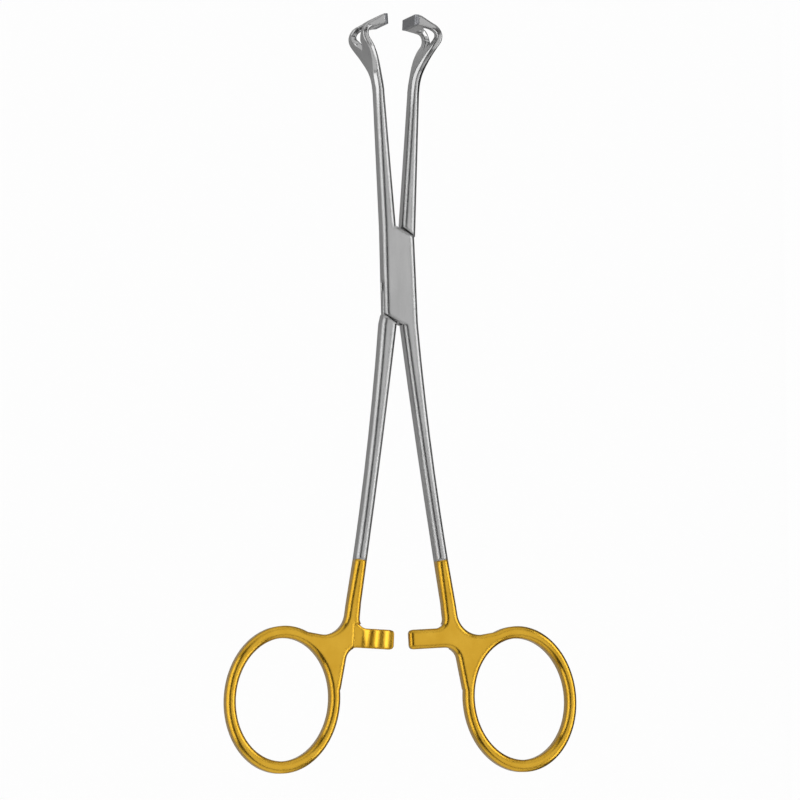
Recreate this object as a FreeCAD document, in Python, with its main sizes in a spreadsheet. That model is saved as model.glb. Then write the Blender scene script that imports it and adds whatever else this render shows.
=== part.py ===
import FreeCAD, Part
import math
import os
import Sketcher

# Babcock tissue forceps with a box lock, three-tooth ratchet and finger rings.
# Lengths are in millimetres and angles in degrees. Each half is drawn in its closed pose:
# the pin axis is Z, the jaws point to +Y and the plane X = 0 lies between the two halves.
# Each half is then turned about the pin by half_opening, which is the resting pose.

SIZES = [
    # Opening of the two halves
    ("half_opening", 3.1),
    ("full_opening", 20.0),
    # Box lock
    ("lock_thickness", 4.4),
    ("lock_half_width", 3.85),
    ("lock_lean", 2.4),
    ("crotch_height", 11.6),
    ("crotch_gap", 0.3),
    ("cheek_height", 9.05),
    ("shoulder_height", 9.3),
    ("edge_bevel", 0.8),
    # Tongue, slot and pin
    ("tongue_half_width", 2.55),
    ("tongue_thickness", 1.8),
    ("tongue_lean", 4.6),
    ("tongue_hip", 3.95),
    ("tongue_reach", 8.3),
    ("slot_side_clearance", 0.1),
    ("slot_face_clearance", 0.04),
    ("slot_end_clearance", 0.35),
    ("pin_radius", 1.25),
    ("pin_clearance", 0.03),
    # Jaw arms
    ("arm_root_width", 3.3),
    ("arm_top_width", 2.15),
    ("arm_top_thickness", 4.05),
    ("arm_top_offset", 1.95),
    # Fenestrated jaws
    ("jaw_reach", 60.85),
    ("flare_radius", 21.4),
    ("flare_onset", 8.0),
    ("flare_angle", 34.0),
    ("bend_radius", 2.6),
    ("tip_slope", 19.5),
    ("jaw_half_width", 6.05),
    ("window_heading", 28.5),
    ("window_half_gap", 2.0),
    ("limb_width", 1.4),
    ("limb_depth", 2.1),
    ("limb_bevel", 0.3),
    ("tip_half_width", 5.3),
    ("tip_thickness", 2.3),
    ("tip_length", 2.3),
    # Carbide inserts
    ("insert_thickness", 0.95),
    ("insert_corner", 0.6),
    ("insert_groove", 0.4),
    ("insert_groove_depth", 0.35),
    ("insert_gap", 0.03),
    # Ring shanks
    ("shank_root_width", 3.7),
    ("shank_mid_width", 2.8),
    ("shank_mid_height", 42.0),
    ("shank_mid_offset", 4.03),
    ("shank_bow", 0.8),
    ("shank_thickness", 4.3),
    ("plating_height", 67.5),
    ("plating_offset", 6.36),
    ("plating_width", 2.7),
    ("plating_slope", 5.8),
    # Handles
    ("handle_thickness", 3.7),
    ("handle_bevel", 0.7),
    ("web_rise", 5.9),
    ("web_offset", 7.45),
    ("web_width", 3.05),
    ("web_slope", 2.8),
    ("web_throat", 8.6),
    ("web_foot", 10.0),
    ("web_brow", 8.6),
    ("web_inner_fillet", 2.2),
    ("web_lower_fillet", 3.2),
    ("web_outer_fillet", 5.5),
    # Ratchet arms
    ("ratchet_radius", 85.7),
    ("ratchet_height", 4.6),
    ("ratchet_overlap", 2.95),
    ("ratchet_step", 7.4),
    ("ratchet_corner", 1.0),
    ("ratchet_relief", 0.9),
    ("rack_gap", 0.12),
    ("tooth_depth", 0.6),
    ("tooth_pitch", 2.45),
    ("tooth_undercut", 0.1),
    ("tooth_count", 3),
    # Finger rings
    ("ring_offset", 23.8),
    ("ring_height", 101.1),
    ("ring_half_length", 14.35),
    ("ring_half_width", 11.5),
    ("ring_wire_width", 2.85),
    ("ring_side_width", 2.3),
    ("ring_lean", 2.6),
]

doc = FreeCAD.newDocument("babcock_forceps")
sheet = doc.addObject("Spreadsheet::Sheet", "Dims")
for row, (alias, number) in enumerate(SIZES, start=1):
    sheet.set(f"A{row}", alias)
    sheet.set(f"B{row}", str(number))
    sheet.setAlias(f"B{row}", alias)
doc.recompute()


# Reading sizes

def size(alias):
    """The number in the sheet's cell of this name."""
    return float(sheet.get(alias))


def dim(alias):
    """The same cell, written for an expression."""
    return f"Dims.{alias}"


# Points written as expressions

def leaned(across, along, lean):
    """A point given across and along an axis that leans from +Y towards +X."""
    x = f"({across}) * cos({lean}) + ({along}) * sin({lean})"
    y = f"({along}) * cos({lean}) - ({across}) * sin({lean})"
    return x, y


def opposite(point):
    """The point half a turn about the pin away."""
    x, y = point
    return f"-({x})", f"-({y})"


def mirrored(point, side):
    """The point on the +X side, or for side -1 its mirror image on the -X side."""
    x, y = point
    return f"{side} * ({x})", y


# Sketches

def base_plane(body, role):
    """One of the body's own origin planes or axes."""
    return next(feature for feature in body.Origin.OriginFeatures if feature.Role == role)


def new_sketch(body, name, role, offset=FreeCAD.Placement()):
    """An empty sketch attached to one of the body's origin planes."""
    sketch = body.newObject("Sketcher::SketchObject", name)
    sketch.AttachmentSupport = [(base_plane(body, role), "")]
    sketch.MapMode = "FlatFace"
    sketch.AttachmentOffset = offset
    return sketch


def polygon(body, name, role, points, offset=FreeCAD.Placement()):
    """A closed outline whose corners are bound to the sheet."""
    sketch = new_sketch(body, name, role, offset)
    count = len(points)
    start = [FreeCAD.Vector(math.cos(2 * math.pi * i / count), math.sin(2 * math.pi * i / count), 0)
             for i in range(count)]
    for i in range(count):
        sketch.addGeometry(Part.LineSegment(start[i], start[(i + 1) % count]))
    for i in range(count):
        sketch.addConstraint(Sketcher.Constraint("Coincident", i, 2, (i + 1) % count, 1))
    for i, (x, y) in enumerate(points):
        across = sketch.addConstraint(Sketcher.Constraint("DistanceX", -1, 1, i, 1, start[i].x))
        along = sketch.addConstraint(Sketcher.Constraint("DistanceY", -1, 1, i, 1, start[i].y))
        sketch.setExpression(f"Constraints[{across}]", x)
        sketch.setExpression(f"Constraints[{along}]", y)
    return sketch


def circle(body, name, radius):
    """A circle round the pin axis."""
    sketch = new_sketch(body, name, "XY_Plane")
    sketch.addGeometry(Part.Circle(FreeCAD.Vector(), FreeCAD.Vector(0, 0, 1), 1.0))
    sketch.addConstraint(Sketcher.Constraint("Coincident", 0, 3, -1, 1))
    bound = sketch.addConstraint(Sketcher.Constraint("Radius", 0, 1.0))
    sketch.setExpression(f"Constraints[{bound}]", radius)
    return sketch


def oval(body, name, side, growth, side_growth, height):
    """The outline of the finger ring's opening, grown at its ends and sides and set at a height."""
    sketch = new_sketch(body, name, "XY_Plane", FreeCAD.Placement(FreeCAD.Vector(0, 0, 1), FreeCAD.Rotation()))
    sketch.setExpression("AttachmentOffset.Base.z", height)
    long_end = FreeCAD.Vector(-side * 0.1, 2.0, 0)
    centre = FreeCAD.Vector(side * 3.0, -4.0, 0)
    sketch.addGeometry(Part.Ellipse(centre + long_end, centre + FreeCAD.Vector(1.0, side * 0.05, 0), centre))
    sketch.exposeInternalGeometry(0)
    across = sketch.addConstraint(Sketcher.Constraint("DistanceX", -1, 1, 0, 3, centre.x))
    along = sketch.addConstraint(Sketcher.Constraint("DistanceY", -1, 1, 0, 3, centre.y))
    length = sketch.addConstraint(Sketcher.Constraint("Distance", 1, 4.0))
    breadth = sketch.addConstraint(Sketcher.Constraint("Distance", 2, 2.0))
    top = 1 if sketch.getPoint(1, 1).y > sketch.getPoint(1, 2).y else 2
    lean = sketch.addConstraint(Sketcher.Constraint("DistanceX", 0, 3, 1, top, long_end.x))
    sketch.setExpression(f"Constraints[{across}]", f"{side} * {dim('ring_offset')}")
    sketch.setExpression(f"Constraints[{along}]", f"-{dim('ring_height')}")
    sketch.setExpression(f"Constraints[{length}]", f"2 * ({dim('ring_half_length')} + {growth})")
    sketch.setExpression(f"Constraints[{breadth}]", f"2 * ({dim('ring_half_width')} + {side_growth})")
    sketch.setExpression(f"Constraints[{lean}]",
                         f"-{side} * ({dim('ring_half_length')} + {growth}) * sin({dim('ring_lean')})")
    return sketch


def section(body, name, place, width, depth, bevel):
    """A bevelled rectangle across a bar, at a place given as X, Y, Z and heading."""
    x, y, z, heading = place
    turn = FreeCAD.Rotation(FreeCAD.Vector(0, 1, 0), -heading)
    offset = FreeCAD.Placement(FreeCAD.Vector(x, z, -y), turn)
    half_width = f"({width}) / 2"
    half_depth = f"({depth}) / 2"
    short_width = f"({width}) / 2 - {bevel}"
    short_depth = f"({depth}) / 2 - {bevel}"
    corners = [
        (short_width, half_depth), (half_width, short_depth),
        (half_width, f"-({short_depth})"), (short_width, f"-({half_depth})"),
        (f"-({short_width})", f"-({half_depth})"), (f"-({half_width})", f"-({short_depth})"),
        (f"-({half_width})", short_depth), (f"-({short_width})", half_depth),
    ]
    return polygon(body, name, "XZ_Plane", corners, offset)


# Features

def pad(body, name, profile, length):
    """Material on both sides of the profile's plane."""
    feature = body.newObject("PartDesign::Pad", name)
    feature.Profile = profile
    feature.SideType = "Symmetric"
    feature.setExpression("Length", length)
    return feature


def pocket(body, name, profile, length):
    """A cut on both sides of the profile's plane."""
    feature = body.newObject("PartDesign::Pocket", name)
    feature.Profile = profile
    feature.SideType = "Symmetric"
    feature.setExpression("Length", length)
    return feature


def loft(body, name, sections, ruled):
    """A bar through a row of sections."""
    feature = body.newObject("PartDesign::AdditiveLoft", name)
    feature.Profile = sections[0]
    feature.Sections = sections[1:]
    feature.Ruled = ruled
    return feature


def edges_where(shape, wanted):
    """Names of the edges for which wanted(edge) is true."""
    return [f"Edge{i}" for i, edge in enumerate(shape.Edges, start=1) if wanted(edge)]


def fillet(body, name, base, edges, radius):
    """A rounded edge."""
    feature = body.newObject("PartDesign::Fillet", name)
    feature.Base = (base, edges)
    feature.setExpression("Radius", radius)
    return feature


def chamfer(body, name, base, edges, width):
    """A bevelled edge."""
    feature = body.newObject("PartDesign::Chamfer", name)
    feature.Base = (base, edges)
    feature.setExpression("Size", width)
    return feature


def upright_edge_at(shape, x, y, reach=0.3):
    """The edge parallel to Z that stands at X, Y."""
    def wanted(edge):
        middle = edge.CenterOfMass
        upright = edge.BoundBox.XLength < 1e-6 and edge.BoundBox.YLength < 1e-6
        return upright and math.hypot(middle.x - x, middle.y - y) < reach
    return edges_where(shape, wanted)


def rim_edges(shape, half_thickness, keep):
    """The edges of the two flat faces for which keep(centre) is true."""
    def wanted(edge):
        middle = edge.BoundBox
        flat = middle.ZLength < 1e-6 and abs(abs(middle.ZMin) - half_thickness) < 1e-6
        return flat and keep(edge.CenterOfMass)
    return edges_where(shape, wanted)


def bevel_walls(body, base):
    """Bevel the long side walls of the lock, but not the meeting ends of cheeks and shoulders."""
    wall = size("lock_half_width") * 2 / 3
    rims = rim_edges(base.Shape, size("lock_thickness") / 2,
                     lambda middle: abs(middle.x) > wall and abs(middle.y) < size("crotch_height") - 1e-3)
    chamfer(body, "lock_bevel", base, rims, dim("edge_bevel"))
    doc.recompute()


# Jaw arm and ring shank, shared by both halves

def arm_root(side):
    """Middle of the jaw arm where it leaves the lock."""
    return side * (size("crotch_gap") / 2 + size("arm_root_width") / 2), size("crotch_height"), 0, 0


def flare_start():
    """Height at which the jaw arm starts to flare outwards."""
    turn = math.radians(size("flare_angle"))
    over = math.radians(90 - size("tip_slope"))
    bend = size("bend_radius")
    outward = size("arm_top_offset") + size("flare_radius") * (1 - math.cos(turn))
    outward += bend * (math.cos(over) - math.cos(turn))
    climb = size("flare_radius") * math.sin(turn) + bend * (math.sin(turn) + math.sin(over))
    climb += outward * math.tan(math.radians(size("tip_slope")))
    return size("jaw_reach") - climb


def flare_place(heading):
    """Offset, height and heading on the outward flare of the jaw."""
    turn = math.radians(heading)
    offset = size("arm_top_offset") + size("flare_radius") * (1 - math.cos(turn))
    return offset, flare_start() + size("flare_radius") * math.sin(turn), heading


def bend_place(heading):
    """Offset, height and heading on the bend that folds the jaw back to its tip."""
    offset, height, start = flare_place(size("flare_angle"))
    turn = math.radians(heading)
    first = math.radians(start)
    offset += size("bend_radius") * (math.cos(turn) - math.cos(first))
    height += size("bend_radius") * (math.sin(first) - math.sin(turn))
    return offset, height, heading


def tip_place(inset):
    """Offset, height and heading on the straight tip, at an inset from the closing plane."""
    heading = size("tip_slope") - 90
    offset, height, _ = bend_place(heading)
    climb = (offset - inset) * math.tan(math.radians(size("tip_slope")))
    return inset, height + climb, heading


def ease(share):
    """A smooth step from 0 to 1."""
    share = min(max(share, 0.0), 1.0)
    return share * share * (3 - 2 * share)


def between(first, last, share):
    """The value at a share of the way from the first to the last."""
    return first + (last - first) * share


def flare_form(heading):
    """Half depth, width and bevel of the jaw where it flares."""
    onset = size("flare_onset")
    share = ease((heading - onset) / (size("flare_angle") - onset))
    half = between(size("arm_top_thickness") / 2, size("jaw_half_width"), share)
    width = between(size("arm_top_width"), size("limb_width"), share)
    bevel = between(size("edge_bevel"), size("limb_bevel"), share)
    return half, width, bevel


def add_arm(body, side):
    """The tapering bar from the lock to the foot of the jaw's window."""
    sections = [section(body, "arm_root", arm_root(side), dim("arm_root_width"), dim("lock_thickness"),
                        dim("edge_bevel"))]
    steps = 5
    for i in range(steps + 1):
        offset, height, turn = flare_place(size("window_heading") * i / steps)
        half, width, bevel = flare_form(turn)
        place = (side * offset, height, 0, side * turn)
        sections.append(section(body, f"arm_{i}", place, str(width), str(2 * half), str(bevel)))
    loft(body, "arm_straight", sections[:2], True)
    loft(body, "arm_flare", sections[1:], False)


def limb_section(body, name, side, station):
    """A section across one limb, from a place, inner and outer edge, width and bevel."""
    place, inner, outer, width, bevel = station
    offset, height, heading = place
    where = (side * offset, height, (inner + outer) / 2, side * heading)
    return section(body, name, where, str(width), str(outer - inner), str(bevel))


def foot_stations():
    """The limb from the foot of the window, where it still overlaps its twin, to the bend."""
    first, last = size("window_heading"), size("flare_angle")
    stations = []
    for share in (0.0, 0.5, 1.0):
        heading = between(first, last, share)
        outer, width, bevel = flare_form(heading)
        inner = between(-2 * bevel, size("window_half_gap"), share)
        stations.append((flare_place(heading), inner, outer, width, bevel))
    return stations


def bend_stations():
    """The limb round the bend, down to its full slimness."""
    first, last = size("flare_angle"), size("tip_slope") - 90
    widest = size("jaw_half_width")
    stations = []
    for share in (0.0, 0.25, 0.5, 0.75, 1.0):
        outer = between(widest, size("tip_half_width"), ease((share - 0.25) / 0.75))
        depth = between(widest - size("window_half_gap"), size("limb_depth"), ease(2 * share))
        stations.append((bend_place(between(first, last, share)), outer - depth, outer,
                         size("limb_width"), size("limb_bevel")))
    return stations


def heel_width():
    """Width of the jaw where the limbs meet the bar across the tips."""
    seat = size("insert_thickness")
    start = bend_place(size("tip_slope") - 90)[0]
    share = (start - seat - size("tip_length")) / (start - seat)
    return between(size("limb_width"), size("tip_thickness"), share)


def add_limbs(body, side):
    """The two mirrored limbs that frame the window."""
    outer = size("tip_half_width")
    heel = (tip_place(size("insert_thickness") + size("tip_length")), outer - size("limb_depth"), outer,
            heel_width(), size("limb_bevel"))
    foot, bend = foot_stations(), bend_stations()
    rows = {"limb_foot": (foot, False), "limb_bend": (bend, False), "limb_end": ([bend[-1], heel], True)}
    limbs = []
    for name, (stations, ruled) in rows.items():
        sections = [limb_section(body, f"{name}_{i}", side, station) for i, station in enumerate(stations)]
        limbs.append(loft(body, name, sections, ruled))
    doc.recompute()
    pair = body.newObject("PartDesign::Mirrored", "limb_pair")
    pair.Originals = limbs
    pair.MirrorPlane = (base_plane(body, "XY_Plane"), [""])
    body.Tip = pair
    doc.recompute()


def add_tip(body, side):
    """The bar across the tips, cut off square for the insert."""
    seat = size("insert_thickness")
    thickness = size("tip_thickness")
    insets = ((seat + size("tip_length"), heel_width()), (seat + thickness / 4, thickness), (0.0, thickness))
    sections = []
    for i, (inset, width) in enumerate(insets):
        offset, height, heading = tip_place(inset)
        place = (side * offset, height, 0, side * heading)
        sections.append(section(body, f"tip_{i}", place, str(width), f"2 * {dim('tip_half_width')}",
                                dim("limb_bevel")))
    loft(body, "tip_bar", sections, True)
    doc.recompute()
    above = f"{dim('jaw_reach')} + 2 * {dim('tip_thickness')}"
    below = f"{dim('jaw_reach')} - 2 * {dim('tip_thickness')}"
    edge = dim("insert_thickness")
    trim = [(edge, below), (edge, above), (f"-{edge}", above), (f"-{edge}", below)]
    pocket(body, "insert_seat", polygon(body, "seat_outline", "XY_Plane",
                                        [mirrored(corner, side) for corner in trim]),
           f"4 * {dim('tip_half_width')}")
    doc.recompute()


def add_jaw(body, side):
    """Jaw arm, limbs and tip."""
    add_arm(body, side)
    doc.recompute()
    add_limbs(body, side)
    add_tip(body, side)


def shank_places():
    """Middle, height, heading and width of the ring shank from the lock to the plating line."""
    root = size("crotch_gap") / 2 + size("shank_root_width") / 2
    upper = math.degrees(math.atan2(size("shank_mid_offset") - root,
                                    size("shank_mid_height") - size("crotch_height")))
    return [
        (root, size("crotch_height"), 0.0, "shank_root_width"),
        (size("shank_mid_offset"), size("shank_mid_height"), upper + size("shank_bow"), "shank_mid_width"),
        (size("plating_offset"), size("plating_height"), size("plating_slope"), "plating_width"),
    ]


def add_shank(body, side):
    """The long tapering bar from the lock to the plating line, on the ring's side."""
    sections = []
    thickness = ("lock_thickness", "shank_thickness", "shank_thickness")
    for i, (offset, height, slope, width) in enumerate(shank_places()):
        place = (side * offset, -height, 0, -side * slope)
        sections.append(section(body, f"shank_{i}", place, dim(width), dim(thickness[i]), dim("edge_bevel")))
    loft(body, "shank", sections, False)


# Female half: the box of the lock

def female_outline():
    """Plan of the box, from the root of the arm to the root of the shank."""
    gap = f"{dim('crotch_gap')} / 2"
    crotch = dim("crotch_height")
    cheek = leaned(dim("lock_half_width"), dim("cheek_height"), dim("lock_lean"))
    return [(f"-({gap} + {dim('arm_root_width')})", crotch), opposite(cheek), (gap, f"-{crotch}"),
            (f"{gap} + {dim('shank_root_width')}", f"-{crotch}"), cheek, (f"-({gap})", crotch)]


def slot_outline():
    """Plan of the space that the tongue sweeps between the closed and the fully open pose."""
    reach = f"{dim('tongue_half_width')} + {dim('slot_side_clearance')}"
    closed = dim("tongue_lean")
    opened = f"{closed} + 2 * {dim('half_opening')} + {dim('full_opening')}"
    middle = f"({closed} + {opened}) / 2"
    corner_reach = f"({reach}) / cos(({opened} - {closed}) / 2)"
    corner = (f"{corner_reach} * cos({middle})", f"-({corner_reach}) * sin({middle})")
    clear = f"2 * {dim('lock_half_width')}"
    window = leaned(reach, clear, opened)
    roof = leaned(f"-({reach})", f"{dim('tongue_reach')} + {dim('slot_end_clearance')}", closed)
    top = f"{dim('crotch_height')} + {dim('slot_end_clearance')}"
    crotch = ("0", top)
    outside = (clear, top)
    right_half = [outside, window, corner]
    left_half = [opposite(point) for point in right_half]
    return [roof, crotch] + right_half + [opposite(roof), opposite(crotch)] + left_half


def make_female_half():
    """The half whose lock is the box: jaw on the -X side, ring on the +X side."""
    body = doc.addObject("PartDesign::Body", "female_half")
    box = pad(body, "box", polygon(body, "box_outline", "XY_Plane", female_outline()), dim("lock_thickness"))
    doc.recompute()
    bevel_walls(body, box)
    pocket(body, "slot", polygon(body, "slot_plan", "XY_Plane", slot_outline()),
           f"{dim('tongue_thickness')} + 2 * {dim('slot_face_clearance')}")
    doc.recompute()
    pocket(body, "pin_bore", circle(body, "pin_circle", dim("pin_radius")), f"2 * {dim('lock_thickness')}")
    doc.recompute()
    add_shank(body, 1)
    doc.recompute()
    add_jaw(body, -1)
    return body


# Male half: the tongue of the lock

def shoulder_block(width):
    """Plan of the full-thickness end of arm or shank above the cheek of the box."""
    gap = f"{dim('crotch_gap')} / 2"
    side = leaned(dim("lock_half_width"), dim("shoulder_height"), f"-{dim('lock_lean')}")
    return [(gap, dim("crotch_height")), side, (f"{gap} + {dim(width)}", dim("crotch_height"))]


def tongue_outline():
    """Plan of the tongue, with its hips flush with the sides of the box."""
    lean = dim("tongue_lean")
    half = dim("tongue_half_width")
    gap = f"{dim('crotch_gap')} / 2"
    side_x, side_y = leaned(dim("lock_half_width"), dim("shoulder_height"), f"-{dim('lock_lean')}")
    inside = f"{dim('crotch_height')} + {dim('edge_bevel')}"
    hip_inner = leaned(half, dim("tongue_hip"), lean)
    hip_outer = leaned(f"{dim('lock_half_width')} - {dim('slot_side_clearance')}",
                       f"{dim('tongue_hip')} - {dim('slot_end_clearance')}", f"-{dim('lock_lean')}")
    roof = leaned(f"-{half}", dim("tongue_reach"), lean)
    right = [(f"{gap} + {dim('edge_bevel')}", inside), (f"{side_x} - {dim('edge_bevel')}", inside),
             (f"{side_x} - {dim('slot_side_clearance')}", side_y), hip_outer, hip_inner]
    left = [opposite(point) for point in right]
    crotch = (f"{gap} + {dim('slot_side_clearance')}", dim("crotch_height"))
    return [roof, crotch] + right + [opposite(roof), opposite(crotch)] + left


def make_male_half():
    """The half whose lock is the tongue: jaw on the +X side, ring on the -X side."""
    body = doc.addObject("PartDesign::Body", "male_half")
    upper = shoulder_block("arm_root_width")
    lower = [opposite(point) for point in shoulder_block("shank_root_width")]
    pad(body, "arm_shoulder", polygon(body, "arm_shoulder_plan", "XY_Plane", upper), dim("lock_thickness"))
    doc.recompute()
    blocks = pad(body, "shank_shoulder", polygon(body, "shank_shoulder_plan", "XY_Plane", lower),
                 dim("lock_thickness"))
    doc.recompute()
    bevel_walls(body, blocks)
    pad(body, "tongue", polygon(body, "tongue_plan", "XY_Plane", tongue_outline()), dim("tongue_thickness"))
    doc.recompute()
    pocket(body, "pin_hole", circle(body, "pin_circle", f"{dim('pin_radius')} + {dim('pin_clearance')}"),
           f"2 * {dim('lock_thickness')}")
    doc.recompute()
    add_shank(body, -1)
    doc.recompute()
    add_jaw(body, 1)
    return body


# Pin and jaw inserts

def make_pin():
    """The pin of the lock, ground flush with both cheeks."""
    body = doc.addObject("PartDesign::Body", "box_lock_pin")
    pad(body, "pin", circle(body, "pin_circle", dim("pin_radius")), dim("lock_thickness"))
    return body


def make_insert(name, side):
    """A hard jaw face with one groove along it between two ridges."""
    body = doc.addObject("PartDesign::Body", name)
    middle = f"{dim('jaw_reach')} - {dim('insert_thickness')} * tan({dim('tip_slope')})"
    height = f"{dim('tip_thickness')} / cos({dim('tip_slope')})"
    face = dim("insert_gap")
    back = dim("insert_thickness")
    half = dim("tip_half_width")
    corner = dim("insert_corner")
    end = [(back, half), (f"{face} + {corner}", half), (face, f"{half} - {corner}")]
    plan = end + [(x, f"-({z})") for x, z in reversed(end)]
    offset = FreeCAD.Placement(FreeCAD.Vector(0, 0, -insert_middle()), FreeCAD.Rotation())
    blank = polygon(body, "insert_plan", "XZ_Plane", [mirrored(point, side) for point in plan], offset)
    blank.setExpression("AttachmentOffset.Base.z", f"-({middle})")
    plate = pad(body, "insert_blank", blank, height)
    doc.recompute()
    ends = edges_where(plate.Shape, lambda edge: edge.BoundBox.YLength < 1e-6 and edge.BoundBox.ZLength < 1e-6
                       and abs(edge.CenterOfMass.z) > size("tip_half_width") - 1e-3)
    chamfer(body, "insert_ends", plate, ends, dim("limb_bevel"))
    doc.recompute()
    mouth = dim("insert_groove")
    floor = f"{face} + {dim('insert_groove_depth')}"
    cut = [(floor, f"{middle} - {mouth} / 2"), (floor, f"{middle} + {mouth} / 2"),
           (f"-{floor}", f"{middle} + {mouth} * 2"), (f"-{floor}", f"{middle} - {mouth} * 2")]
    groove = polygon(body, "groove_outline", "XY_Plane", [mirrored(point, side) for point in cut])
    pocket(body, "groove", groove, f"4 * {half}")
    doc.recompute()
    return body


def insert_middle():
    """Height of the middle of the insert above the pin."""
    return size("jaw_reach") - size("insert_thickness") * math.tan(math.radians(size("tip_slope")))


# Handles: ring shank end, web, ratchet arm and finger ring

def web_top():
    """Height of the line where the shank ends and the web begins."""
    return f"({dim('ratchet_radius')} - {dim('ratchet_height')} / 2 - {dim('web_rise')})"


def web_outline():
    """Plan of the plate that joins the shank, the ratchet arm and the ring."""
    outer = f"{dim('ring_offset')} - {dim('ring_half_width')} - {dim('ring_side_width')}"
    inside = f"{dim('ring_offset')} - {dim('ring_half_width')} + {dim('ring_side_width')} / 2"
    ring_top = f"{dim('ring_height')} - {dim('ring_half_length')}"
    crown = f"-({ring_top} - {dim('ring_wire_width')} * 3 / 4)"
    under_crown = f"-({ring_top} + {dim('ring_wire_width')} / 2)"
    crown_x = f"{dim('ring_offset')} - {dim('ring_height')} * sin({dim('ring_lean')}) / 3"
    brow = f"({web_top()} + {dim('web_brow')})"
    half = f"{dim('web_width')} / 2"
    arm_top = f"-({dim('ratchet_radius')} - {dim('ratchet_height')} / 2)"
    arm_foot = f"-({dim('ratchet_radius')} + {dim('ratchet_height')} / 2)"
    tip = f"-{dim('ratchet_overlap')}"
    return [
        (f"{dim('web_offset')} - {half}", f"-{web_top()}"),
        (f"{dim('web_offset')} - {half} + {dim('web_rise')} * tan({dim('web_slope')})", arm_top),
        (tip, arm_top),
        (tip, arm_foot),
        (dim("web_throat"), arm_foot),
        (outer, f"{arm_foot} - {dim('web_foot')}"),
        (inside, f"-{dim('ring_height')}"),
        (crown_x, under_crown),
        (crown_x, crown),
        (f"{dim('web_offset')} + {half} + {dim('web_brow')} * tan({dim('plating_slope')})", f"-{brow}"),
        (f"{dim('web_offset')} + {half}", f"-{web_top()}"),
    ]


def add_web(body, side):
    """The plate with its rounded throats and bevelled rims."""
    plan = polygon(body, "web_plan", "XY_Plane", [mirrored(point, side) for point in web_outline()])
    feature = pad(body, "web", plan, dim("handle_thickness"))
    doc.recompute()
    corners = [plan.getPoint(i, 1) for i in range(len(web_outline()))]
    rounds = [((1,), "web_inner_fillet"), ((4,), "web_lower_fillet"), ((9,), "web_outer_fillet"),
              ((2, 3), "ratchet_corner")]
    for indices, radius in rounds:
        edges = [edge for i in indices for edge in upright_edge_at(feature.Shape, corners[i].x, corners[i].y)]
        feature = fillet(body, f"{radius}_round", feature, edges, dim(radius))
        doc.recompute()
    ring_centre = FreeCAD.Vector(side * size("ring_offset"), -size("ring_height"), 0)
    top = corners[0].y

    def outside_ring(middle):
        reach = math.hypot((middle.x - ring_centre.x) / size("ring_half_width"),
                           (middle.y - ring_centre.y) / size("ring_half_length"))
        return reach > 1.05 and middle.y < top - 1e-3
    rims = rim_edges(feature.Shape, size("handle_thickness") / 2, outside_ring)
    chamfer(body, "web_bevel", feature, rims, dim("handle_bevel"))
    doc.recompute()


def add_ring(body, side):
    """The finger ring: a bevelled oval disc with a bevelled opening."""
    bevel = dim("handle_bevel")
    face = f"{dim('handle_thickness')} / 2"
    past = dim("handle_thickness")
    disc = [(bevel, f"-{face}"), ("0", f"-({face} - {bevel})"), ("0", f"{face} - {bevel}"), (bevel, face)]
    hole = [(f"{past} + {bevel} - {face}", f"-{past}"), ("0", f"-({face} - {bevel})"),
            ("0", f"{face} - {bevel}"), (f"{past} + {bevel} - {face}", past)]
    rims = [oval(body, f"ring_rim_{i}", side, f"{dim('ring_wire_width')} - {inset}",
                 f"{dim('ring_side_width')} - {inset}", height) for i, (inset, height) in enumerate(disc)]
    loft(body, "ring", rims, True)
    doc.recompute()
    mouths = [oval(body, f"ring_mouth_{i}", side, growth, growth, height)
              for i, (growth, height) in enumerate(hole)]
    cut = body.newObject("PartDesign::SubtractiveLoft", "ring_opening")
    cut.Profile = mouths[0]
    cut.Sections = mouths[1:]
    cut.Ruled = True
    doc.recompute()


def add_handle_shank(body, side):
    """The end of the ring shank, from the plating line into the web."""
    top = (side * size("plating_offset"), -size("plating_height"), 0, -side * size("plating_slope"))
    foot = (side * size("web_offset"), size("web_rise") + size("ratchet_height") / 2 - size("ratchet_radius"), 0, 0)
    sections = [
        section(body, "plating_section", top, dim("plating_width"), dim("shank_thickness"),
                dim("edge_bevel")),
        section(body, "web_section", foot, dim("web_width"), dim("handle_thickness"), dim("handle_bevel")),
    ]
    loft(body, "handle_shank", sections, True)
    doc.recompute()


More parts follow.
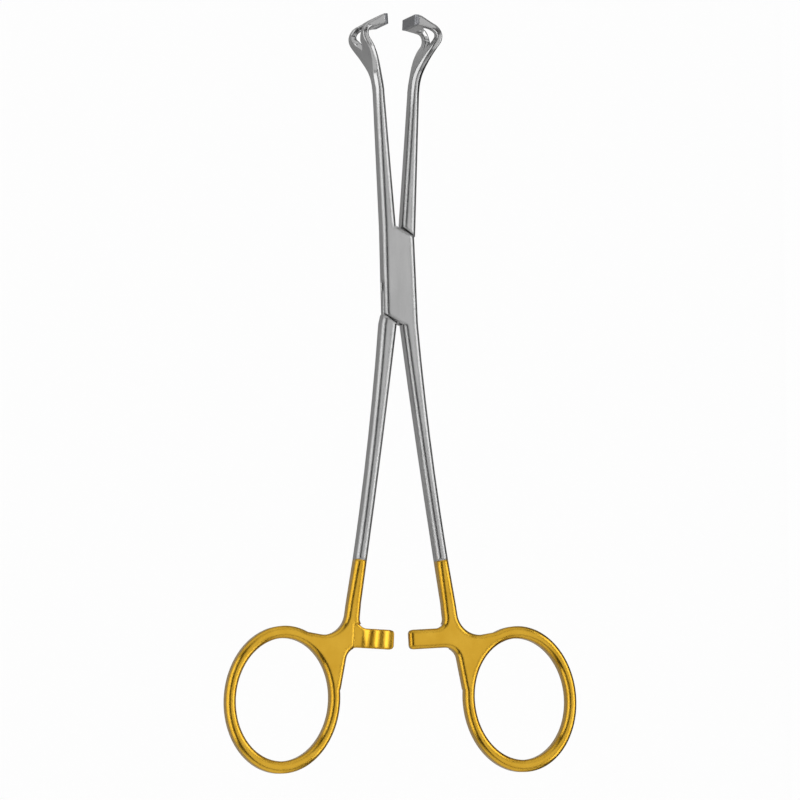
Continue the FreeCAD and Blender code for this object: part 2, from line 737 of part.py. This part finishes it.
def cut_ratchet(body, side):
    """Mill the arm down to the plane between the two racks, then cut its teeth."""
    plane = FreeCAD.Placement(FreeCAD.Vector(0, 0, size("ratchet_radius")), FreeCAD.Rotation())
    face = f"{dim('rack_gap')} / 2"
    clear = dim("handle_thickness")
    past_tip = f"-2 * {dim('ratchet_overlap')}"
    relief = [(past_tip, face), (dim("ratchet_step"), face), (dim("ratchet_step"), f"-{clear}"),
              (past_tip, f"-{clear}")]
    milled = polygon(body, "rack_relief", "XZ_Plane", [turned(point, side) for point in relief], plane)
    milled.setExpression("AttachmentOffset.Base.z", dim("ratchet_radius"))
    pocket(body, "rack", milled, f"{dim('ratchet_height')} + 2 * {dim('ratchet_relief')}")
    doc.recompute()
    pitch = dim("tooth_pitch")
    first = f"-2 * {pitch}"
    notch = [(first, face), (f"{first} + {dim('tooth_undercut')}", f"{face} + {dim('tooth_depth')}"),
             (f"{first} + {pitch}", face), (f"{first} + {pitch} / 2", f"-{clear}")]
    tooth = polygon(body, "tooth_outline", "XZ_Plane", [turned(point, side) for point in notch], plane)
    tooth.setExpression("AttachmentOffset.Base.z", dim("ratchet_radius"))
    cut = pocket(body, "tooth", tooth, f"2 * {dim('ratchet_height')}")
    doc.recompute()
    teeth = body.newObject("PartDesign::PolarPattern", "teeth")
    teeth.Originals = [cut]
    teeth.Axis = (base_plane(body, "Z_Axis"), [""])
    teeth.Reversed = side < 0
    teeth.Occurrences = int(size("tooth_count")) + 1
    teeth.setExpression("Angle", f"{dim('tooth_count')} * {pitch} / {dim('ratchet_radius')} * 180 / pi")
    body.Tip = teeth
    doc.recompute()


def turned(point, side):
    """For side -1, the point half a turn about the Y axis away."""
    x, z = point
    return f"{side} * ({x})", f"{side} * ({z})"


def make_handle(name, side):
    """The plated end of one half: shank end, web, ratchet arm and finger ring."""
    body = doc.addObject("PartDesign::Body", name)
    add_web(body, side)
    add_ring(body, side)
    add_handle_shank(body, side)
    cut_ratchet(body, side)
    return body


# Checking and writing

def check(objects):
    """Stop if a feature failed or a sub-part has no valid solid."""
    for feature in doc.Objects:
        if "Invalid" in feature.State or "Error" in feature.State:
            raise RuntimeError(f"{feature.Name} failed: {feature.State}")
    for part in objects:
        if part.Shape.isNull() or not part.Shape.isValid() or len(part.Shape.Solids) != 1:
            raise RuntimeError(f"{part.Label} is not one valid solid")
        print(f"{part.Label}: {part.Shape.Volume:.2f} mm3, {part.Shape.BoundBox}")


female_parts = [make_female_half(), make_handle("female_handle", 1), make_insert("female_jaw_insert", -1),
                make_pin()]
male_parts = [make_male_half(), make_handle("male_handle", -1), make_insert("male_jaw_insert", 1)]
for parts, side in ((female_parts, 1), (male_parts, -1)):
    lift = FreeCAD.Vector(0, 0, size("lock_thickness") / 2)
    turn = FreeCAD.Rotation(FreeCAD.Vector(0, 0, 1), side * size("half_opening"))
    for part in parts:
        part.Placement = FreeCAD.Placement(lift, turn)
doc.recompute()
check(female_parts + male_parts)

os.makedirs("parts", exist_ok=True)
for part in female_parts + male_parts:
    part.Shape.exportStep(f"parts/{part.Label}.step")
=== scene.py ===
"""Babcock tissue forceps with gold-plated finger rings: finishes, light and camera.

Everything is in metres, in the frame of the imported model: the pin of the box lock runs along Z,
the jaws point to +Y, and the instrument lies flat in the plane of X and Y.
"""

import logging
import math
from dataclasses import dataclass, field
from enum import Enum

import bmesh
import bpy
from mathutils import Matrix, Vector


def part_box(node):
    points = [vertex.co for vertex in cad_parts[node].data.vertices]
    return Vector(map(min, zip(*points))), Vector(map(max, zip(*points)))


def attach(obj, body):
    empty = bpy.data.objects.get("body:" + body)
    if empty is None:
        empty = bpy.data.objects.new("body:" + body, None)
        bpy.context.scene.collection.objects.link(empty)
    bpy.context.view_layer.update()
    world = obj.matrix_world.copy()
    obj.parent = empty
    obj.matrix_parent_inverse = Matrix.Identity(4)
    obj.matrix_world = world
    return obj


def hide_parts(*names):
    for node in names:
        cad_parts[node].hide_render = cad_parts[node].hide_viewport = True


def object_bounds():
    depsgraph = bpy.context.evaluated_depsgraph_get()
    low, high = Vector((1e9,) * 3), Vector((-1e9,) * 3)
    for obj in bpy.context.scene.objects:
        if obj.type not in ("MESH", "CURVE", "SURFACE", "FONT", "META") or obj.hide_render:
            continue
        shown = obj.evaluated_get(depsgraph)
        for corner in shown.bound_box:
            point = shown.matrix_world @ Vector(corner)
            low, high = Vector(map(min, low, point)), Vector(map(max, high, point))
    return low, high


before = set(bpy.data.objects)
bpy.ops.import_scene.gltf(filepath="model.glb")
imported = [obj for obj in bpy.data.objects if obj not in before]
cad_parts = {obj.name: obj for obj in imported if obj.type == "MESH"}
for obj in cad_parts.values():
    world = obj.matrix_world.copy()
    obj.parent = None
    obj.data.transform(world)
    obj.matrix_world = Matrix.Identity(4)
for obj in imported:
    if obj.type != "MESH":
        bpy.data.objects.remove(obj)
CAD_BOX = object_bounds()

LOG = logging.getLogger("babcock_forceps")
MM = 0.001

# The Mix node has several sockets of each name, so its colour sockets go by their place.
MIX_FIRST, MIX_SECOND, MIX_RESULT = 6, 7, 2

# Rays that the Bevel node sends out to find the faces round an edge.
EDGE_SAMPLES = 12

# The middle part of a noise value, in which nearly all of it lies.
NOISE_LOW, NOISE_HIGH = 0.3, 0.7

# How much each finer octave of a noise counts against the one before.
OCTAVE_SHARE = 0.55

# Length of one band of a Wave texture whose scale is 1.
WAVE_BAND = 0.314


def srgb(code: str) -> tuple[float, float, float, float]:
    """Turn an sRGB hex colour into the linear colour that nodes take.

    Args:
        code: Six hex digits, with or without a leading hash.

    Returns:
        Red, green, blue and an alpha of 1.
    """
    digits = code.lstrip("#")
    channels = [int(digits[i:i + 2], 16) / 255 for i in (0, 2, 4)]
    linear = [c / 12.92 if c <= 0.04045 else ((c + 0.055) / 1.055) ** 2.4 for c in channels]
    return (*linear, 1.0)


def add_node(tree: bpy.types.NodeTree, kind: str, settings: dict | None = None,
             links: dict | None = None) -> bpy.types.Node:
    """Add one node to a tree.

    Args:
        tree: The node tree.
        kind: The node's type name.
        settings: Values by name, for its properties or its input sockets.
        links: Output sockets by the name or place of the input socket that each one feeds.

    Returns:
        The new node.
    """
    node = tree.nodes.new(kind)
    for name, value in (settings or {}).items():
        if hasattr(node, name):
            setattr(node, name, value)
        else:
            node.inputs[name].default_value = value
    for name, output in (links or {}).items():
        tree.links.new(output, node.inputs[name])
    return node


class Side(Enum):
    """The two halves of the forceps, by the part of the lock that each one carries."""

    FEMALE = "female"
    MALE = "male"


@dataclass(frozen=True)
class Finish:
    """A surface finish; each kind says how its material is built."""

    name: str
    slot: str
    edge_radius_mm: float

    def build(self) -> bpy.types.Material:
        """Make the material.

        Returns:
            A node material named for the real finish.
        """
        material = bpy.data.materials.new(self.name)
        material.use_nodes = True
        tree = material.node_tree
        tree.nodes.clear()
        shader = self.shade(tree)
        add_node(tree, "ShaderNodeOutputMaterial", links={"Surface": shader.outputs["BSDF"]})
        return material

    def shade(self, tree: bpy.types.NodeTree) -> bpy.types.Node:
        """Make the shader of this finish.

        Args:
            tree: The material's node tree.

        Returns:
            The shader node.
        """
        raise NotImplementedError

    def rounded(self, tree: bpy.types.NodeTree) -> bpy.types.NodeSocket:
        """Round the look of the edges by this finish's polishing radius.

        Args:
            tree: The material's node tree.

        Returns:
            The surface normal, eased near the edges.
        """
        bevel = add_node(tree, "ShaderNodeBevel",
                         {"samples": EDGE_SAMPLES, "Radius": self.edge_radius_mm * MM})
        return bevel.outputs["Normal"]

    def grain(self, tree: bpy.types.NodeTree, across_mm: float, along_mm: float,
              detail: float = 2.0) -> bpy.types.NodeSocket:
        """Make a noise stretched along the instrument.

        Args:
            tree: The material's node tree.
            across_mm: Width of one streak.
            along_mm: Length of one streak.
            detail: Octaves of finer noise.

        Returns:
            The noise value, from 0 to 1.
        """
        place = add_node(tree, "ShaderNodeTexCoord")
        across, along = 1 / (across_mm * MM), 1 / (along_mm * MM)
        stretch = add_node(tree, "ShaderNodeMapping", {"Scale": (across, along, across)},
                           {"Vector": place.outputs["Object"]})
        noise = add_node(tree, "ShaderNodeTexNoise",
                         {"Scale": 1.0, "Detail": detail, "Roughness": OCTAVE_SHARE},
                         {"Vector": stretch.outputs["Vector"]})
        return noise.outputs["Fac"]

    def spread(self, tree: bpy.types.NodeTree, value: bpy.types.NodeSocket, low: float,
               high: float) -> bpy.types.NodeSocket:
        """Stretch the middle of a noise value over a range.

        Args:
            tree: The material's node tree.
            value: The noise value.
            low: Lower end of the range.
            high: Upper end of the range.

        Returns:
            The value in its new range.
        """
        ranged = add_node(tree, "ShaderNodeMapRange", {
            "From Min": NOISE_LOW, "From Max": NOISE_HIGH, "To Min": low, "To Max": high,
        }, {"Value": value})
        return ranged.outputs["Result"]


@dataclass(frozen=True)
class SatinSteel(Finish):
    """Hardened stainless steel, belt-polished along the bar and then glass-bead matted.

    The eye sees a neutral grey metal with soft highlights, faint streaks along the bar and edges
    that the belt has broken. Real belt lines are about 0.03 mm wide and would not show, so the
    streaks are drawn four times as coarse.
    """

    pale: str = "#b0b0b0"
    deep: str = "#a2a2a2"
    roughness: tuple[float, float] = (0.18, 0.25)
    streak_mm: tuple[float, float] = (0.12, 9.0)
    haze_mm: tuple[float, float] = (6.0, 18.0)
    streak_height_mm: float = 0.0025
    streak_strength: float = 0.5
    jaw_radius_mm: float = 0.45
    jaw_from_mm: float = 38.0
    jaw_to_mm: float = 46.0

    def rounded(self, tree: bpy.types.NodeTree) -> bpy.types.NodeSocket:
        """Round the look of the edges, less on the thin limbs of the jaws than on the bars.

        Args:
            tree: The material's node tree.

        Returns:
            The surface normal, eased near the edges.
        """
        place = add_node(tree, "ShaderNodeTexCoord")
        axes = add_node(tree, "ShaderNodeSeparateXYZ", links={"Vector": place.outputs["Object"]})
        radius = add_node(tree, "ShaderNodeMapRange", {
            "From Min": self.jaw_from_mm * MM, "From Max": self.jaw_to_mm * MM,
            "To Min": self.edge_radius_mm * MM, "To Max": self.jaw_radius_mm * MM,
        }, {"Value": axes.outputs["Y"]})
        bevel = add_node(tree, "ShaderNodeBevel", {"samples": EDGE_SAMPLES},
                         {"Radius": radius.outputs["Result"]})
        return bevel.outputs["Normal"]

    def shade(self, tree: bpy.types.NodeTree) -> bpy.types.Node:
        """Make steel with streaks in its gloss and a faint haze in its colour.

        Args:
            tree: The material's node tree.

        Returns:
            The shader node.
        """
        streak = self.grain(tree, *self.streak_mm)
        haze = self.grain(tree, *self.haze_mm)
        colour = add_node(tree, "ShaderNodeMix", {"data_type": "RGBA"},
                          {"Factor": self.spread(tree, haze, 0.0, 1.0)})
        colour.inputs[MIX_FIRST].default_value = srgb(self.deep)
        colour.inputs[MIX_SECOND].default_value = srgb(self.pale)
        bump = add_node(tree, "ShaderNodeBump", {
            "Strength": self.streak_strength, "Distance": self.streak_height_mm * MM,
        }, {"Height": streak, "Normal": self.rounded(tree)})
        return add_node(tree, "ShaderNodeBsdfPrincipled", {"Metallic": 1.0}, {
            "Base Color": colour.outputs[MIX_RESULT],
            "Roughness": self.spread(tree, streak, *self.roughness),
            "Normal": bump.outputs["Normal"],
        })


@dataclass(frozen=True)
class GoldPlating(Finish):
    """Hard gold electroplated over the polished steel of the handle.

    The eye sees a deep yellow metal, glossier than the steel, whose bevels flash almost lemon
    and whose hollows go brown.
    """

    pale: str = "#d2a638"
    deep: str = "#c79a2e"
    roughness: tuple[float, float] = (0.14, 0.2)
    cloud_mm: tuple[float, float] = (4.0, 6.0)
    ripple_mm: tuple[float, float] = (1.6, 3.2)
    ripple_detail: float = 1.0
    ripple_height_mm: float = 0.004
    ripple_strength: float = 0.4

    def shade(self, tree: bpy.types.NodeTree) -> bpy.types.Node:
        """Make gold with slow clouds in its colour and the ripple that hand polishing leaves.

        Args:
            tree: The material's node tree.

        Returns:
            The shader node.
        """
        cloud = self.grain(tree, *self.cloud_mm)
        ripple = self.grain(tree, *self.ripple_mm, self.ripple_detail)
        colour = add_node(tree, "ShaderNodeMix", {"data_type": "RGBA"},
                          {"Factor": self.spread(tree, cloud, 0.0, 1.0)})
        colour.inputs[MIX_FIRST].default_value = srgb(self.deep)
        colour.inputs[MIX_SECOND].default_value = srgb(self.pale)
        bump = add_node(tree, "ShaderNodeBump", {
            "Strength": self.ripple_strength, "Distance": self.ripple_height_mm * MM,
        }, {"Height": ripple, "Normal": self.rounded(tree)})
        return add_node(tree, "ShaderNodeBsdfPrincipled", {"Metallic": 1.0}, {
            "Base Color": colour.outputs[MIX_RESULT],
            "Roughness": self.spread(tree, cloud, *self.roughness),
            "Normal": bump.outputs["Normal"],
        })


@dataclass(frozen=True)
class SinteredCarbide(Finish):
    """Tungsten carbide, sintered, ground flat and cross-hatched, then brazed to the jaw.

    The eye sees a darker, duller grey than the steel with fine crossed grooves.
    """

    colour: str = "#8b8c8f"
    roughness: float = 0.38
    hatch_mm: float = 0.3
    hatch_height_mm: float = 0.05
    hatch_strength: float = 0.6
    hatch_turns_deg: tuple[float, float] = (45.0, -45.0)

    def shade(self, tree: bpy.types.NodeTree) -> bpy.types.Node:
        """Make ground carbide with two crossed sets of fine grooves.

        Args:
            tree: The material's node tree.

        Returns:
            The shader node.
        """
        place = add_node(tree, "ShaderNodeTexCoord")
        waves = []
        for turn in self.hatch_turns_deg:
            across = add_node(tree, "ShaderNodeMapping",
                              {"Rotation": (math.radians(turn), 0.0, 0.0)},
                              {"Vector": place.outputs["Object"]})
            wave = add_node(tree, "ShaderNodeTexWave", {
                "wave_type": "BANDS", "bands_direction": "Y", "wave_profile": "TRI",
                "Scale": WAVE_BAND / (self.hatch_mm * MM),
            }, {"Vector": across.outputs["Vector"]})
            waves.append(wave.outputs["Fac"])
        crossed = add_node(tree, "ShaderNodeMath", {"operation": "MINIMUM"},
                           {0: waves[0], 1: waves[1]})
        bump = add_node(tree, "ShaderNodeBump", {
            "Strength": self.hatch_strength, "Distance": self.hatch_height_mm * MM,
        }, {"Height": crossed.outputs["Value"], "Normal": self.rounded(tree)})
        return add_node(tree, "ShaderNodeBsdfPrincipled", {
            "Metallic": 1.0, "Base Color": srgb(self.colour), "Roughness": self.roughness,
        }, {"Normal": bump.outputs["Normal"]})


@dataclass
class FinishedPiece:
    """A piece of the instrument as it leaves the polisher: the solid's shape, smoothly shaded."""

    node: str
    body: str
    finish: Finish
    also: tuple[str, ...] = ()
    crease_deg: float = 28.0
    weld_mm: float = 0.0005
    sliver_mm: float = 0.00005

    def build(self, material: bpy.types.Material) -> bpy.types.Object:
        """Weld a copy of the solid's surface, mark its creases and smooth the rest.

        Args:
            material: The piece's finish.

        Returns:
            The finished piece, riding on its body.
        """
        mesh = bpy.data.meshes.new(f"{self.node}_finished")
        work = bmesh.new()
        work.from_mesh(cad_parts[self.node].data)
        bmesh.ops.remove_doubles(work, verts=work.verts, dist=self.weld_mm * MM)
        bmesh.ops.dissolve_degenerate(work, dist=self.sliver_mm * MM, edges=work.edges)
        self.shape(work)
        bmesh.ops.recalc_face_normals(work, faces=work.faces)
        self.crease(work)
        work.to_mesh(mesh)
        work.free()
        mesh.materials.clear()
        mesh.materials.append(material)
        piece = bpy.data.objects.new(f"{self.node}_finished", mesh)
        bpy.context.scene.collection.objects.link(piece)
        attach(piece, self.body)
        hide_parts(self.node, *self.also)
        return piece

    def shape(self, work: bmesh.types.BMesh) -> None:
        """Change the welded surface, on the pieces whose finishing does so; here it stays."""

    def crease(self, work: bmesh.types.BMesh) -> None:
        """Keep the edges that the grinder leaves sharp, and shade the rest smooth.

        Args:
            work: The welded surface.
        """
        limit = math.radians(self.crease_deg)
        for face in work.faces:
            face.smooth = True
            face.material_index = 0
        for edge in work.edges:
            edge.smooth = edge.is_manifold and edge.calc_face_angle(0.0) < limit


@dataclass
class PinnedBox(FinishedPiece):
    """The forging of the box with its pin, which is set, ground flush and polished over.

    No ring shows where the pin's ends meet the cheeks, so the bore is closed at every face that
    it comes through. Its wall is what stands upright within reach_mm of the pin's axis.
    """

    reach_mm: float = 1.6
    wall_lean: float = 0.5

    def shape(self, work: bmesh.types.BMesh) -> None:
        """Take out the wall of the bore and close its rims, level with the faces around them.

        Args:
            work: The welded surface.
        """
        reach = self.reach_mm * MM
        wall = [face for face in work.faces
                if abs(face.normal.z) < self.wall_lean
                and all(vert.co.xy.length < reach for vert in face.verts)]
        bmesh.ops.delete(work, geom=wall, context="FACES")
        rims = [edge for edge in work.edges
                if edge.is_boundary and all(vert.co.xy.length < reach for vert in edge.verts)]
        closed = bmesh.ops.holes_fill(work, edges=rims, sides=0)["faces"]
        bmesh.ops.triangulate(work, faces=closed)
        LOG.info("%s: bore of %d wall faces closed at %d rims", self.node, len(wall), len(closed))


@dataclass
class EasedInsert(FinishedPiece):
    """A jaw insert whose working face has its sharp edge stoned off.

    The jaws stand open at rest, so the face is turned opening_deg out of the middle plane.
    """

    opening_deg: float = 3.1
    flat_deg: float = 0.5
    ease_mm: float = 0.3
    ease_steps: int = 4

    def shape(self, work: bmesh.types.BMesh) -> None:
        """Round the outline of the working face, and leave the brazed edge sharp.

        Args:
            work: The welded surface.
        """
        bmesh.ops.dissolve_limit(work, angle_limit=math.radians(self.flat_deg), verts=work.verts,
                                 edges=work.edges)
        middle = sum((vert.co for vert in work.verts), Vector()) / len(work.verts)
        side = -1.0 if middle.x > 0 else 1.0
        turn = math.radians(side * self.opening_deg)
        inward = Vector((math.cos(turn), -math.sin(turn), 0.0)) * side
        depths = {vert: vert.co.dot(inward) for vert in work.verts}
        half = (min(depths.values()) + max(depths.values())) / 2
        outline = [edge for edge in work.edges
                   if all(depths[vert] > half for vert in edge.verts)
                   and edge.calc_face_angle(0.0) > math.radians(self.crease_deg)]
        bmesh.ops.bevel(work, geom=outline, offset=self.ease_mm * MM, offset_type="OFFSET",
                        affect="EDGES", segments=self.ease_steps, profile=0.5, material=-1,
                        clamp_overlap=True)
        LOG.info("%s: %d edges eased", self.node, len(outline))


@dataclass
class Half:
    """One half of the forceps: forging, plated handle and jaw insert."""

    side: Side
    steel: Finish
    gold: Finish
    carbide: Finish

    def build(self, materials: dict[str, bpy.types.Material]) -> list[bpy.types.Object]:
        """Finish the pieces of this half.

        Args:
            materials: Materials by the name of their finish.

        Returns:
            The finished pieces.
        """
        body = self.side.value
        if self.side is Side.FEMALE:
            forging = PinnedBox("female_half", body, self.steel, ("box_lock_pin",))
        else:
            forging = FinishedPiece("male_half", body, self.steel)
        pieces = [
            forging,
            FinishedPiece(f"{body}_handle", body, self.gold),
            EasedInsert(f"{body}_jaw_insert", body, self.carbide),
        ]
        return [piece.build(materials[piece.finish.name]) for piece in pieces]


@dataclass
class Tray:
    """The plain white floor of the studio, some way below the instrument."""

    width: float = 8.0
    colour: str = "#f4f4f4"
    clearance_mm: float = 60.0
    glow: float = 0.965

    def height(self) -> float:
        """Height of the floor in the frame, from the instrument's lowest point."""
        return CAD_BOX[0][2] - self.clearance_mm * MM

    def build(self) -> None:
        """Lay the floor, far enough below the instrument for a soft shadow."""
        mesh = bpy.data.meshes.new("tray")
        work = bmesh.new()
        bmesh.ops.create_grid(work, x_segments=1, y_segments=1, size=self.width / 2,
                              matrix=Matrix.Translation((0.0, 0.0, self.height())))
        work.to_mesh(mesh)
        work.free()
        mesh.materials.append(self.material())
        tray = bpy.data.objects.new("tray", mesh)
        bpy.context.scene.collection.objects.link(tray)

    def material(self) -> bpy.types.Material:
        """Make white laminate, which shows white to the camera, in metal and through glass.

        What the glow leaves of the matt white still takes the instrument's shadow.

        Returns:
            The material.
        """
        material = bpy.data.materials.new("white_laminate")
        material.use_nodes = True
        tree = material.node_tree
        tree.nodes.clear()
        matt = add_node(tree, "ShaderNodeBsdfDiffuse", {"Color": srgb(self.colour)})
        white = add_node(tree, "ShaderNodeEmission", {"Strength": 1.0})
        rays = add_node(tree, "ShaderNodeLightPath")
        seen = add_node(tree, "ShaderNodeMath", {"operation": "MAXIMUM"},
                        {0: rays.outputs["Is Camera Ray"], 1: rays.outputs["Is Glossy Ray"]})
        shown = add_node(tree, "ShaderNodeMath", {"operation": "MAXIMUM"},
                         {0: seen.outputs["Value"], 1: rays.outputs["Is Transmission Ray"]})
        share = add_node(tree, "ShaderNodeMath", {"operation": "MULTIPLY"},
                         {0: shown.outputs["Value"]})
        share.inputs[1].default_value = self.glow
        mixed = add_node(tree, "ShaderNodeMixShader", links={
            "Fac": share.outputs["Value"], 1: matt.outputs["BSDF"], 2: white.outputs["Emission"],
        })
        add_node(tree, "ShaderNodeOutputMaterial", links={"Surface": mixed.outputs["Shader"]})
        return material


@dataclass
class Card:
    """A matt card that the camera doesn't see, for the edges of the metal to mirror."""

    name: str
    colour: str
    low: Vector
    high: Vector

    def build(self) -> None:
        """Cut the card between its two opposite corners, upright or lying."""
        low, high = self.low, self.high
        if low.z == high.z:
            outline = [low, (high.x, low.y, low.z), high, (low.x, high.y, low.z)]
        else:
            outline = [low, (low.x, high.y, low.z), high, (low.x, low.y, high.z)]
        mesh = bpy.data.meshes.new(self.name)
        work = bmesh.new()
        work.faces.new([work.verts.new(corner) for corner in outline])
        work.to_mesh(mesh)
        work.free()
        mesh.materials.append(self.material())
        card = bpy.data.objects.new(self.name, mesh)
        card.visible_camera = False
        card.visible_shadow = False
        bpy.context.scene.collection.objects.link(card)

    def material(self) -> bpy.types.Material:
        """Make matt card of this card's colour.

        Returns:
            The material.
        """
        material = bpy.data.materials.new(f"matt_{self.name}")
        material.use_nodes = True
        tree = material.node_tree
        tree.nodes.clear()
        matt = add_node(tree, "ShaderNodeBsdfDiffuse", {"Color": srgb(self.colour)})
        add_node(tree, "ShaderNodeOutputMaterial", links={"Surface": matt.outputs["BSDF"]})
        return material


@dataclass
class CardSet:
    """A black card standing to the right, and a grey one lying on the floor below.

    The right bevels mirror the black card, which draws their dark line, and the side walls
    mirror the grey one, which keeps them a shade below the floor's white.
    """

    black: str = "#0c0c0c"
    grey: str = "#c2c2c2"
    left: float = -0.12
    right: float = 0.125
    near: float = -0.24
    far: float = 0.16
    standing_reach: float = 0.6
    lift: float = 0.001

    def build(self, floor: float) -> None:
        """Stand one card and lay the other.

        Args:
            floor: Height of the floor.
        """
        back, lying = CAD_BOX[0][2], floor + self.lift
        Card("black_card", self.black, Vector((self.right, -self.standing_reach, floor)),
             Vector((self.right, self.standing_reach, back))).build()
        Card("grey_card", self.grey, Vector((self.left, self.near, lying)),
             Vector((self.right, self.far, lying))).build()


@dataclass
class Softbox:
    """A large flat lamp that faces the instrument, leaning to its left or right.

    A mirror would show it at a quarter of pi times its brightness.
    """

    name: str
    lean_deg: float
    distance: float
    width: float
    height: float
    brightness: float

    def build(self, target: Vector) -> None:
        """Hang the lamp, unseen by the camera.

        Args:
            target: The point that it faces.
        """
        lamp = bpy.data.lights.new(self.name, "AREA")
        lamp.shape = "RECTANGLE"
        lamp.size = self.width
        lamp.size_y = self.height
        lamp.energy = self.brightness * math.pi * self.width * self.height
        item = bpy.data.objects.new(self.name, lamp)
        lean = math.radians(self.lean_deg)
        item.location = target + Vector((math.sin(lean), 0.0, math.cos(lean))) * self.distance
        item.rotation_euler = (0.0, lean, 0.0)
        item.visible_camera = False
        bpy.context.scene.collection.objects.link(item)


@dataclass
class Studio:
    """Plain soft light, and the camera where the photograph was taken."""

    turn_deg: float = 18.0
    rise_deg: float = -4.5
    roll_deg: float = 0.55
    distance: float = 1.25
    image_px: float = 800.0
    pixel_mm: float = 0.2357
    pin_px: tuple[float, float] = (397.6, 276.0)
    sensor_mm: float = 36.0
    lit_point: tuple[float, float, float] = (0.0, -0.028, 0.0022)
    world: str = "#505050"
    world_ends: str = "#ffffff"
    ends_from: float = 0.64
    ends_to: float = 0.8
    softboxes: tuple[Softbox, ...] = field(default_factory=lambda: (
        Softbox("left_softbox", -75.0, 0.9, 0.46, 1.3, 2.1),
        Softbox("overhead_panel", 11.0, 0.9, 0.62, 1.25, 0.97),
        Softbox("right_softbox", 57.0, 0.9, 0.56, 1.3, 2.5),
    ))

    def build(self) -> None:
        """Set up the camera, the lamps and the world."""
        self.camera()
        for softbox in self.softboxes:
            softbox.build(Vector(self.lit_point))
        self.surroundings()
        bpy.context.scene.view_settings.view_transform = "Standard"

    def camera(self) -> None:
        """Aim the camera so that the pin falls on its place in the image."""
        data = bpy.data.cameras.new("camera")
        data.sensor_width = self.sensor_mm
        data.lens = self.sensor_mm * self.distance / (self.image_px * self.pixel_mm * MM)
        camera = bpy.data.objects.new("camera", data)
        turn = Matrix.Rotation(math.radians(-self.turn_deg), 3, "Y")
        rise = Matrix.Rotation(math.radians(-self.rise_deg), 3, "X")
        roll = Matrix.Rotation(math.radians(-self.roll_deg), 3, "Z")
        axes = turn @ rise @ roll
        middle = self.image_px / 2
        across = (middle - self.pin_px[0]) * self.pixel_mm * MM
        down = (middle - self.pin_px[1]) * self.pixel_mm * MM
        target = Vector((0.0, 0.0, self.lock_middle())) + axes @ Vector((across, -down, 0.0))
        place = target + axes @ Vector((0.0, 0.0, self.distance))
        camera.matrix_world = Matrix.Translation(place) @ axes.to_4x4()
        bpy.context.scene.collection.objects.link(camera)
        bpy.context.scene.camera = camera

    def lock_middle(self) -> float:
        """Height of the lock's middle, halfway along its pin."""
        low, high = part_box("box_lock_pin")
        return (low.z + high.z) / 2

    def surroundings(self) -> None:
        """Make a plain room, dim across the instrument and pale beyond its two ends."""
        world = bpy.data.worlds.new("room")
        world.use_nodes = True
        tree = world.node_tree
        tree.nodes.clear()
        place = add_node(tree, "ShaderNodeTexCoord")
        axes = add_node(tree, "ShaderNodeSeparateXYZ",
                        links={"Vector": place.outputs["Generated"]})
        along = add_node(tree, "ShaderNodeMath", {"operation": "ABSOLUTE"},
                         {0: axes.outputs["Y"]})
        share = add_node(tree, "ShaderNodeMapRange", {
            "interpolation_type": "SMOOTHSTEP",
            "From Min": self.ends_from, "From Max": self.ends_to,
        }, {"Value": along.outputs["Value"]})
        colour = add_node(tree, "ShaderNodeMix", {"data_type": "RGBA"},
                          {"Factor": share.outputs["Result"]})
        colour.inputs[MIX_FIRST].default_value = srgb(self.world)
        colour.inputs[MIX_SECOND].default_value = srgb(self.world_ends)
        background = add_node(tree, "ShaderNodeBackground", {"Strength": 1.0},
                              {"Color": colour.outputs[MIX_RESULT]})
        add_node(tree, "ShaderNodeOutputWorld",
                 links={"Surface": background.outputs["Background"]})
        bpy.context.scene.world = world


def main() -> None:
    """Build the studio, dress the forceps and report each piece."""
    logging.basicConfig(level=logging.INFO)
    Studio().build()
    tray = Tray()
    tray.build()
    CardSet().build(tray.height())
    steel = SatinSteel("satin_stainless_steel", "satin_steel", edge_radius_mm=1.4)
    gold = GoldPlating("gold_plating", "gold_plating", edge_radius_mm=1.3)
    carbide = SinteredCarbide("sintered_tungsten_carbide", "carbide_insert", edge_radius_mm=0.08)
    materials = {finish.name: finish.build() for finish in (steel, gold, carbide)}
    for side in Side:
        for piece in Half(side, steel, gold, carbide).build(materials):
            LOG.info("%s, on the %s half: %d faces", piece.name, side.value,
                     len(piece.data.polygons))


if __name__ == "__main__":
    main()
